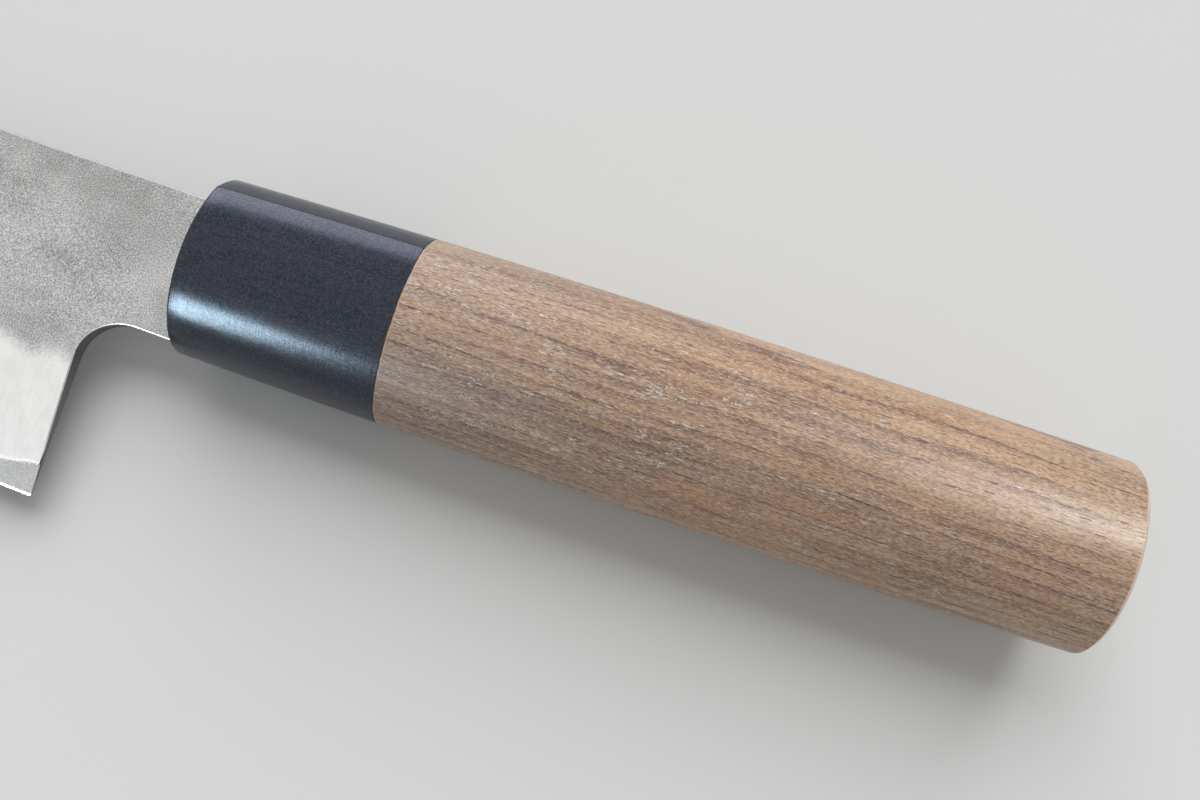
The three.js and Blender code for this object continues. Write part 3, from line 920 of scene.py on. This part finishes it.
def walnut_end():
    """End grain of the butt: rings cut across, and round pores."""
    s = Shader("walnut_end_grain")
    ring = wood_rings(s)
    fine = s.noise((0.3, 0.3, 0.3), 4)
    share = s.math("MULTIPLY_ADD", ring, 0.4, s.math("MULTIPLY", fine, 0.6))
    color = s.mix(s.remap(share, 0.2, 0.8), tone(144, 116, 95), tone(106, 82, 69))
    far, own = s.cells((0.5, 0.42, 0.42))
    pore = s.math("MULTIPLY", s.remap(far, 0.16, 0.3, 1, 0), s.math("LESS_THAN", own, 0.5))
    color = s.mix(s.math("MULTIPLY", pore, 0.7), color, tone(62, 46, 40))
    roughness = s.math("MULTIPLY_ADD", fine, 0.2, 0.5)
    height = s.math("SUBTRACT", fine, pore)
    return s.finish({"Base Color": color, "Roughness": roughness, "Normal": s.bump(height, 0.03)})


def plain_wood():
    """Pale, close-grained wood of the hidden dowel."""
    s = Shader("pale_dowel_wood")
    grain = s.noise((20, 0.5, 0.5), 4)
    fibres = s.noise((4, 0.12, 0.12), 3)
    color = s.mix(s.remap(grain, 0.35, 0.65), tone(222, 198, 160), tone(196, 164, 122))
    color = s.mix(s.remap(fibres, 0.4, 0.7, 0, 0.4), color, tone(170, 138, 100))
    return s.finish({"Base Color": color, "Roughness": 0.65, "Normal": s.bump(fibres, 0.03)})


def resin():
    """Amber bedding resin, with a few bubbles under its skin."""
    s = Shader("amber_resin")
    cloud = s.noise((4, 4, 4), 3)
    far, own = s.cells((0.9, 0.9, 0.9))
    bubble = s.math("MULTIPLY", s.remap(far, 0.1, 0.22, 1, 0), s.math("LESS_THAN", own, 0.25))
    color = s.mix(s.remap(cloud, 0.35, 0.65), tone(196, 142, 66), tone(164, 108, 44))
    color = s.mix(s.math("MULTIPLY", bubble, 0.6), color, tone(226, 190, 130))
    return s.finish({"Base Color": color, "Roughness": 0.3, "Normal": s.bump(bubble, 0.05)})


# Table, light and camera


def table():
    """Wide pale disc under the points on which the knife rests."""
    reach = min(TABLE_UP.dot(v.co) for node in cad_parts.values() for v in node.data.vertices)
    disc = bmesh.new()
    bmesh.ops.create_circle(disc, cap_ends=True, radius=TABLE_SIZE, segments=TABLE_POINTS)
    turn = TABLE_UP.to_track_quat("Z", "Y").to_matrix().to_4x4()
    bmesh.ops.transform(disc, matrix=Matrix.Translation(TABLE_UP * reach) @ turn, verts=disc.verts)
    mesh = bpy.data.meshes.new("table")
    disc.to_mesh(mesh)
    disc.free()
    inputs = {"Base Color": tone(224, 225, 224), "Roughness": 0.9, "Specular IOR Level": 0.0}
    mesh.materials.append(Shader("pale_table").finish(inputs))
    made = bpy.data.objects.new("table", mesh)
    bpy.context.scene.collection.objects.link(made)


def world_light(diffuse, horizon, zenith, zenith_height):
    """Even light on matt faces, and for the rest a sky that is darker near the table."""
    world = bpy.data.worlds.new("studio")
    world.use_nodes = True
    tree = world.node_tree
    tree.nodes.clear()

    def node(kind, inputs):
        made = tree.nodes.new(kind)
        for key, value in inputs.items():
            if isinstance(value, bpy.types.NodeSocket):
                tree.links.new(value, made.inputs[key])
            else:
                made.inputs[key].default_value = value
        return made

    way = node("ShaderNodeTexCoord", {}).outputs["Generated"]
    height = node("ShaderNodeSeparateXYZ", {0: way}).outputs[2]
    rise = {0: height, 1: 0.0, 2: zenith_height, 3: horizon, 4: zenith}
    sky = node("ShaderNodeMapRange", rise).outputs[0]
    scattered = node("ShaderNodeLightPath", {}).outputs["Is Diffuse Ray"]
    strength = node("ShaderNodeMix", {0: scattered, 2: sky, 3: diffuse}).outputs[0]
    background = node("ShaderNodeBackground", {"Color": (1, 1, 1, 1), "Strength": strength}).outputs[0]
    node("ShaderNodeOutputWorld", {0: background})
    bpy.context.scene.world = world


def lamp(name, shows, target, azimuth, elevation, distance, size, strength, color=(1, 1, 1)):
    """Soft lamp that shows as light or as gloss. At strength 1 it is as bright as white."""
    a, e = math.radians(azimuth), math.radians(elevation)
    way = Vector((math.cos(a) * math.cos(e), math.sin(a) * math.cos(e), math.sin(e)))
    light = bpy.data.lights.new(name, "AREA")
    light.shape = "RECTANGLE"
    light.size, light.size_y = size
    light.energy = strength * math.pi * size[0] * size[1]
    light.color = color
    made = bpy.data.objects.new(name, light)
    made.location = ORIGIN + Vector(target) * MM + way * distance
    made.rotation_euler = way.to_track_quat("Z", "Y").to_euler()
    made.visible_camera = False
    made.visible_diffuse = shows == "light"
    made.visible_glossy = shows == "gloss"
    bpy.context.scene.collection.objects.link(made)


def lighting():
    world_light(diffuse=0.36, horizon=0.5, zenith=1.0, zenith_height=0.75)
    lamp(
        "key", "light", target=(20, 0, 0), azimuth=97, elevation=34, distance=12,
        size=(12, 12), strength=3.4,
    )
    lamp(
        "window", "gloss", target=(10, -7, 8), azimuth=-128, elevation=33, distance=0.9,
        size=(0.24, 0.3), strength=28, color=(0.7, 0.87, 1.0),
    )
    lamp(
        "far_wall", "gloss", target=(15, 9, 6), azimuth=115, elevation=7, distance=0.26,
        size=(0.19, 0.12), strength=3.6, color=(0.88, 0.86, 1.0),
    )
    lamp(
        "ceiling", "gloss", target=(110, 3, 9), azimuth=42, elevation=51, distance=0.9,
        size=(0.19, 0.19), strength=50, color=(1.0, 0.95, 0.88),
    )


def camera():
    made = bpy.data.objects.new("camera", bpy.data.cameras.new("camera"))
    made.data.sensor_width = SENSOR_WIDTH
    made.data.lens = CAMERA_LENS
    made.data.clip_start = MM
    made.matrix_world = Matrix.Translation(ORIGIN + CAMERA_PLACE * MM)
    for degrees, axis in zip(CAMERA_DEGREES, "XYZ"):
        made.matrix_world = made.matrix_world @ Matrix.Rotation(math.radians(degrees), 4, axis)
    bpy.context.scene.collection.objects.link(made)
    bpy.context.scene.camera = made


def carried_over(node, material):
    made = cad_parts[node]
    made.data.materials.clear()
    made.data.materials.append(material)


trim = bright_steel("belt_finished_steel", tone(180, 175, 177), 0.36, (6, 0.3, 0.3))
# Painted shade: the walls get a darker steel than the faces, standing in for the shadowed table they
# mirror
wall = bright_steel("wall_steel_with_painted_shade", tone(126, 124, 122), 0.24, (0.4, 0.4, 0.08))
edge = bright_steel("honed_edge", tone(250, 250, 250), 0.16, (0.1, 1, 1))
blade_layers(cladding_steel(), trim, wall, core_steel(), edge)
handle_pieces(black_ferrule(), walnut(), walnut_end())
carried_over("tang_dowel", plain_wood())
carried_over("tang_resin", resin())

table()
lighting()
camera()
bpy.context.scene.view_settings.view_transform = "Standard"
